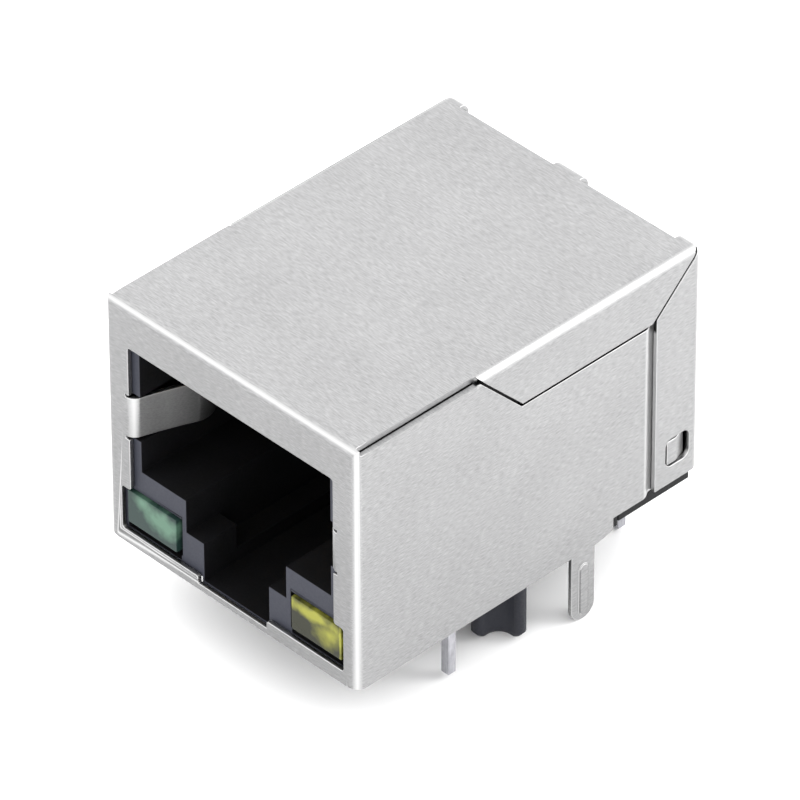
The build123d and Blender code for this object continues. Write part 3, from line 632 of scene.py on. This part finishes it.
def box_between(low, high):
    """A box from its lowest to its highest corner."""
    low, high = Vector(low), Vector(high)
    bpy.ops.object.select_all(action="DESELECT")
    bpy.ops.mesh.primitive_cube_add(size=1.0, location=(0, 0, 0))
    box = bpy.context.active_object
    bpy.ops.object.mode_set(mode="EDIT")
    bpy.ops.mesh.select_all(action="SELECT")
    bpy.ops.transform.resize(value=high - low, center_override=(0, 0, 0))
    bpy.ops.transform.translate(value=(low + high) / 2)
    bpy.ops.object.mode_set(mode="OBJECT")
    return box


def combine(piece, tool, operation):
    """Joins a tool to the piece or cuts it away, and removes the tool."""
    select_only(piece)
    boolean = piece.modifiers.new("boolean", "BOOLEAN")
    boolean.operation = operation
    boolean.solver = "EXACT"
    boolean.object = tool
    bpy.ops.object.modifier_apply(modifier=boolean.name)
    bpy.data.objects.remove(tool)
    merge_facets(piece)


def clear_selection():
    """Clears the selection within the active object's mesh."""
    bpy.ops.object.mode_set(mode="EDIT")
    bpy.ops.mesh.select_mode(type="EDGE")
    bpy.ops.mesh.select_all(action="DESELECT")
    bpy.ops.object.mode_set(mode="OBJECT")


def roll_selected_edges(width, segments, clamped):
    """Rounds the selected edges of the active object's mesh."""
    bpy.ops.object.mode_set(mode="EDIT")
    bpy.ops.mesh.bevel(offset=width, segments=segments, affect="EDGES", clamp_overlap=clamped)
    bpy.ops.object.mode_set(mode="OBJECT")


def nowhere(place):
    """The test of a piece that has no edges to leave sharp."""
    return False


def roll_sharp_edges(piece, width, segments, is_left=nowhere):
    """Rolls the piece's sharp edges over, but for those left sharp, and shades its curves smooth."""
    select_only(piece)
    clear_selection()
    bpy.ops.object.mode_set(mode="EDIT")
    bpy.ops.mesh.edges_select_sharp(sharpness=ROLLED_ANGLE)
    bpy.ops.object.mode_set(mode="OBJECT")
    for polygon in piece.data.polygons:
        polygon.select = False
    for edge in piece.data.edges:
        if any(is_left(piece.data.vertices[end].co) for end in edge.vertices):
            edge.select = False
    roll_selected_edges(width, segments, clamped=False)
    bpy.ops.object.shade_smooth_by_angle(angle=SHADED_ANGLE)
    flatten = piece.modifiers.new("flatten", "WEIGHTED_NORMAL")
    flatten.weight = FACE_WEIGHT
    flatten.keep_sharp = True
    bpy.ops.object.modifier_apply(modifier=flatten.name)


def stand_for(piece, node_name):
    """Puts the finished piece in the place of a CAD node, with that node's finish."""
    piece.data.materials.clear()
    piece.data.materials.append(finish_of(node_name))
    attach(piece, "root")
    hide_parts(node_name)


# Shield: a plain strip below the opening, and deeper slots between the bridges
STRIP_HALF = 7.3 * MM
STRIP_HEIGHT = 0.5 * MM
STRIP_DEPTH = 1.7 * MM
SLOT_HALF = 2.2 * MM
SLOT_FLOOR = 0.3 * MM
BRIDGE_HALF = 0.84 * MM
BRIDGE_CORNER = 6.78 * MM
BRIDGE_SLOT = 0.56 * MM
BRIDGE_DROP = 0.65 * MM
SHEET_ROLL = 0.045 * MM
SHEET_ROLL_SEGMENTS = 2


def at_narrow_end(place):
    """Whether a place is where the seam starts or the front's strip ends."""
    at_seam_start = abs(place.y - SEAM_START) < OVERLAP
    at_strip_end = (
        abs(abs(place.x) - STRIP_HALF) < OVERLAP
        and place.y < FRONT + STRIP_HEIGHT
        and place.z < 2 * STRIP_HEIGHT
    )
    return at_seam_start or at_strip_end


shield = copy_of("shield", "folded_shield")
flaps = box_between(
    (-STRIP_HALF, FRONT - OVERLAP, -OVERLAP), (STRIP_HALF, FRONT + STRIP_DEPTH, STRIP_HEIGHT)
)
combine(shield, flaps, "DIFFERENCE")
strip = box_between((-STRIP_HALF, FRONT, 0), (STRIP_HALF, FRONT + SHEET, STRIP_HEIGHT))
slot_opening = box_between(
    (-SLOT_HALF, FRONT - OVERLAP, SLOT_FLOOR), (SLOT_HALF, FRONT + STRIP_DEPTH, 2 * STRIP_HEIGHT)
)
combine(strip, slot_opening, "DIFFERENCE")
combine(shield, strip, "UNION")
for side in (-1, 1):
    inner, outer = sorted((side * BRIDGE_HALF, side * BRIDGE_CORNER))
    bridge_slot = box_between(
        (inner, FRONT + LENGTH - BRIDGE_SLOT, HEIGHT - BRIDGE_DROP),
        (outer, FRONT + LENGTH + OVERLAP, HEIGHT + OVERLAP),
    )
    combine(shield, bridge_slot, "DIFFERENCE")
roll_sharp_edges(shield, SHEET_ROLL, SHEET_ROLL_SEGMENTS, at_narrow_end)
stand_for(shield, "shield")

# Housing: closer lamp pockets and four-lobed posts
LAMP_INNER = 3.68 * MM
LAMP_OUTER = 6.86 * MM
LAMP_BOTTOM = 1.1 * MM
LAMP_TOP = 2.95 * MM
LAMP_LENGTH = 5.0 * MM
POCKET_GAP = 0.12 * MM
POCKET_FLOOR = 0.68 * MM
POCKET_ROOF = 3.0 * MM
POCKET_DEPTH = 5.2 * MM
HOUSING_FRONT = FRONT + 0.3 * MM
HOUSING_ROLL = 0.02 * MM
HOUSING_ROLL_SEGMENTS = 1
POST_PLACE = 5.715 * MM
POST_REACH = 1.28 * MM
POST_LOBE_HALF = 0.32 * MM
POST_LENGTH = 3.6 * MM
POST_CUT = 2.0 * MM
POST_VALLEY = 0.85 * MM
POST_VALLEY_SEGMENTS = 8
POST_ROUNDING = 0.9 * POST_LOBE_HALF
POST_ROUNDING_SEGMENTS = 4
POST_TIP = 0.3 * MM
POST_TIP_SHARE = 0.85
FACES_DOWN = -0.99


def extrude_selected_faces(offset):
    """Pulls the selected faces of the active object's mesh out by an offset."""
    bpy.ops.object.mode_set(mode="EDIT")
    bpy.ops.mesh.select_mode(type="FACE")
    bpy.ops.mesh.extrude_region_move(TRANSFORM_OT_translate={"value": offset})
    bpy.ops.object.mode_set(mode="OBJECT")


def select_upright_edges(post, place, reach):
    """Selects a post's upright edges whose corners are as far from its middle as the reach."""
    clear_selection()
    for edge in post.data.edges:
        ends = [post.data.vertices[index].co for index in edge.vertices]
        away = [max(abs(end.x - place), abs(end.y)) for end in ends]
        upright = abs(ends[0].z - ends[1].z) > POST_TIP
        edge.select = upright and all(abs(distance - reach) < MERGE for distance in away)


def lobed_post(place):
    """A post with four narrow lobes: a square bar with an arm pulled out of each side."""
    post = box_between(
        (place - POST_LOBE_HALF, -POST_LOBE_HALF, POST_TIP - POST_LENGTH),
        (place + POST_LOBE_HALF, POST_LOBE_HALF, POST_TIP),
    )
    for direction in (Vector((1, 0, 0)), Vector((-1, 0, 0)), Vector((0, 1, 0)), Vector((0, -1, 0))):
        clear_selection()
        for polygon in post.data.polygons:
            middle = Vector((polygon.center.x - place, polygon.center.y, 0))
            polygon.select = (middle - direction * POST_LOBE_HALF).length < MERGE
        extrude_selected_faces(direction * POST_REACH)
    merge_facets(post)
    select_upright_edges(post, place, POST_LOBE_HALF)
    roll_selected_edges(POST_VALLEY, POST_VALLEY_SEGMENTS, clamped=False)
    select_upright_edges(post, place, POST_LOBE_HALF + POST_REACH)
    roll_selected_edges(POST_ROUNDING, POST_ROUNDING_SEGMENTS, clamped=False)
    clear_selection()
    for polygon in post.data.polygons:
        polygon.select = polygon.normal.z < FACES_DOWN
    extrude_selected_faces((0, 0, -POST_TIP))
    bpy.ops.object.mode_set(mode="EDIT")
    bpy.ops.transform.resize(
        value=(POST_TIP_SHARE, POST_TIP_SHARE, 1), center_override=(place, 0, -POST_LENGTH)
    )
    bpy.ops.object.mode_set(mode="OBJECT")
    return post


housing = copy_of("housing", "lobed_housing")
for side in (-1, 1):
    inner, outer = sorted((side * (LAMP_INNER - POCKET_GAP), side * (LAMP_OUTER + POCKET_GAP)))
    pocket_floor = box_between(
        (inner, HOUSING_FRONT - OVERLAP, POCKET_FLOOR), (outer, FRONT + POCKET_DEPTH, LAMP_BOTTOM)
    )
    combine(housing, pocket_floor, "DIFFERENCE")
    pocket_roof = box_between(
        (inner - 2 * OVERLAP, HOUSING_FRONT, POCKET_ROOF),
        (outer + 2 * OVERLAP, FRONT + POCKET_DEPTH, POCKET_ROOF + POCKET_GAP + 2 * OVERLAP),
    )
    combine(housing, pocket_roof, "UNION")
    place = side * POST_PLACE
    old_post = box_between(
        (place - POST_CUT, -POST_CUT, -POST_LENGTH), (place + POST_CUT, POST_CUT, 0)
    )
    combine(housing, old_post, "DIFFERENCE")
    combine(housing, lobed_post(place), "UNION")
roll_sharp_edges(housing, HOUSING_ROLL, HOUSING_ROLL_SEGMENTS)
stand_for(housing, "housing")

# Lamps: blocks with rolled edges, in the same pockets
LAMP_ROLL = 0.07 * MM
LAMP_ROLL_SEGMENTS = 2
for side, node_name in ((-1, "green_lamp"), (1, "yellow_lamp")):
    inner, outer = sorted((side * LAMP_INNER, side * LAMP_OUTER))
    lamp = box_between(
        (inner, FRONT + LAMP_SETBACK, LAMP_BOTTOM),
        (outer, FRONT + LAMP_SETBACK + LAMP_LENGTH, LAMP_TOP),
    )
    lamp.name = node_name + "_lens"
    roll_sharp_edges(lamp, LAMP_ROLL, LAMP_ROLL_SEGMENTS)
    stand_for(lamp, node_name)

# Pin carrier: stands off the board on a wider base
CARRIER_STANDOFF = 0.13 * MM
CARRIER_BASE_TOP = 0.82 * MM
CARRIER_BASE_HALF = 7.66 * MM
CARRIER_FRONT = FRONT + 16.6 * MM
CARRIER_REAR = FRONT + 21.1 * MM
CARRIER_ROLL = 0.05 * MM
CARRIER_ROLL_SEGMENTS = 2

carrier = copy_of("pin_carrier", "based_carrier")
foot_space = box_between(
    (-CARRIER_BASE_HALF, CARRIER_FRONT - OVERLAP, -OVERLAP),
    (CARRIER_BASE_HALF, CARRIER_REAR + OVERLAP, CARRIER_STANDOFF),
)
combine(carrier, foot_space, "DIFFERENCE")
base = box_between(
    (-CARRIER_BASE_HALF, CARRIER_FRONT, CARRIER_STANDOFF),
    (CARRIER_BASE_HALF, CARRIER_REAR, CARRIER_BASE_TOP),
)
combine(carrier, base, "UNION")
roll_sharp_edges(carrier, CARRIER_ROLL, CARRIER_ROLL_SEGMENTS)
stand_for(carrier, "pin_carrier")

# Floor, just below the pins, and an even pale studio
FLOOR_SIZE = 6.0
FLOOR_GAP = 0.02 * MM
FLOOR_COLOUR = (0.97, 0.97, 0.97, 1.0)
FLOOR_ROUGHNESS = 0.9
STUDIO_COLOUR = (1.0, 1.0, 1.0, 1.0)
STUDIO_STRENGTH = 2.0

bpy.ops.object.select_all(action="DESELECT")
bpy.ops.mesh.primitive_plane_add(size=FLOOR_SIZE, location=(0, 0, cad_low.z - FLOOR_GAP))
floor = bpy.context.active_object
floor.name = "floor"
floor_material, _, floor_shader = new_material("pale_floor")
floor_shader.inputs["Base Color"].default_value = FLOOR_COLOUR
floor_shader.inputs["Roughness"].default_value = FLOOR_ROUGHNESS
floor.data.materials.append(floor_material)

world = bpy.data.worlds.new("studio")
bpy.context.scene.world = world
world.use_nodes = True
background = world.node_tree.nodes["Background"]
background.inputs["Color"].default_value = STUDIO_COLOUR
background.inputs["Strength"].default_value = STUDIO_STRENGTH


def add_softbox(name, direction, distance, size, power):
    """A square soft light that shines on the object from a direction."""
    light = bpy.data.lights.new(name, "AREA")
    light.shape = "SQUARE"
    light.size = size
    light.energy = power
    softbox = bpy.data.objects.new(name, light)
    towards = Vector(direction).normalized()
    softbox.location = towards * distance
    softbox.rotation_mode = "QUATERNION"
    softbox.rotation_quaternion = towards.to_track_quat("Z", "Y")
    bpy.context.scene.collection.objects.link(softbox)


add_softbox(
    "softbox_rear_left", direction=(-0.56, 0.56, 0.62), distance=0.5, size=0.3, power=0.04
)
add_softbox(
    "softbox_rear_right", direction=(0.61, 0.55, 0.57), distance=0.5, size=0.22, power=0.9
)
add_softbox(
    "softbox_front_right", direction=(0.5, -0.6, 0.9), distance=0.6, size=0.3, power=0.2
)

# The camera was fitted to the shield's edges in the photograph
CAMERA_AZIMUTH = radians(45.849)
CAMERA_ELEVATION = radians(38.179)
CAMERA_ROLL = radians(-0.19)
CAMERA_DISTANCE = 443.817 * MM
CAMERA_TARGET = Vector((0.0, -0.275, 6.715)) * MM
CAMERA_SLIDE = Vector((-0.215, -0.568)) * MM
FOCAL_PIXELS = 9971.7
FRAME_PIXELS = 800.0
SENSOR_WIDTH = 36.0
CLIP_START = 0.01
CLIP_END = 10.0

back = Vector(
    (
        sin(CAMERA_AZIMUTH) * cos(CAMERA_ELEVATION),
        -cos(CAMERA_AZIMUTH) * cos(CAMERA_ELEVATION),
        sin(CAMERA_ELEVATION),
    )
)
level_right = Vector((cos(CAMERA_AZIMUTH), sin(CAMERA_AZIMUTH), 0.0))
turn = Matrix.Rotation(CAMERA_ROLL, 3, back)
right = turn @ level_right
up = turn @ back.cross(level_right)

camera_data = bpy.data.cameras.new("camera")
camera_data.sensor_width = SENSOR_WIDTH
camera_data.lens = FOCAL_PIXELS / FRAME_PIXELS * SENSOR_WIDTH
camera_data.clip_start = CLIP_START
camera_data.clip_end = CLIP_END
camera = bpy.data.objects.new("camera", camera_data)
camera.matrix_world = Matrix.Translation(
    CAMERA_TARGET + back * CAMERA_DISTANCE + right * CAMERA_SLIDE.x + up * CAMERA_SLIDE.y
) @ Matrix((right, up, back)).transposed().to_4x4()
bpy.context.scene.collection.objects.link(camera)
bpy.context.scene.camera = camera
bpy.context.scene.view_settings.view_transform = "Standard"
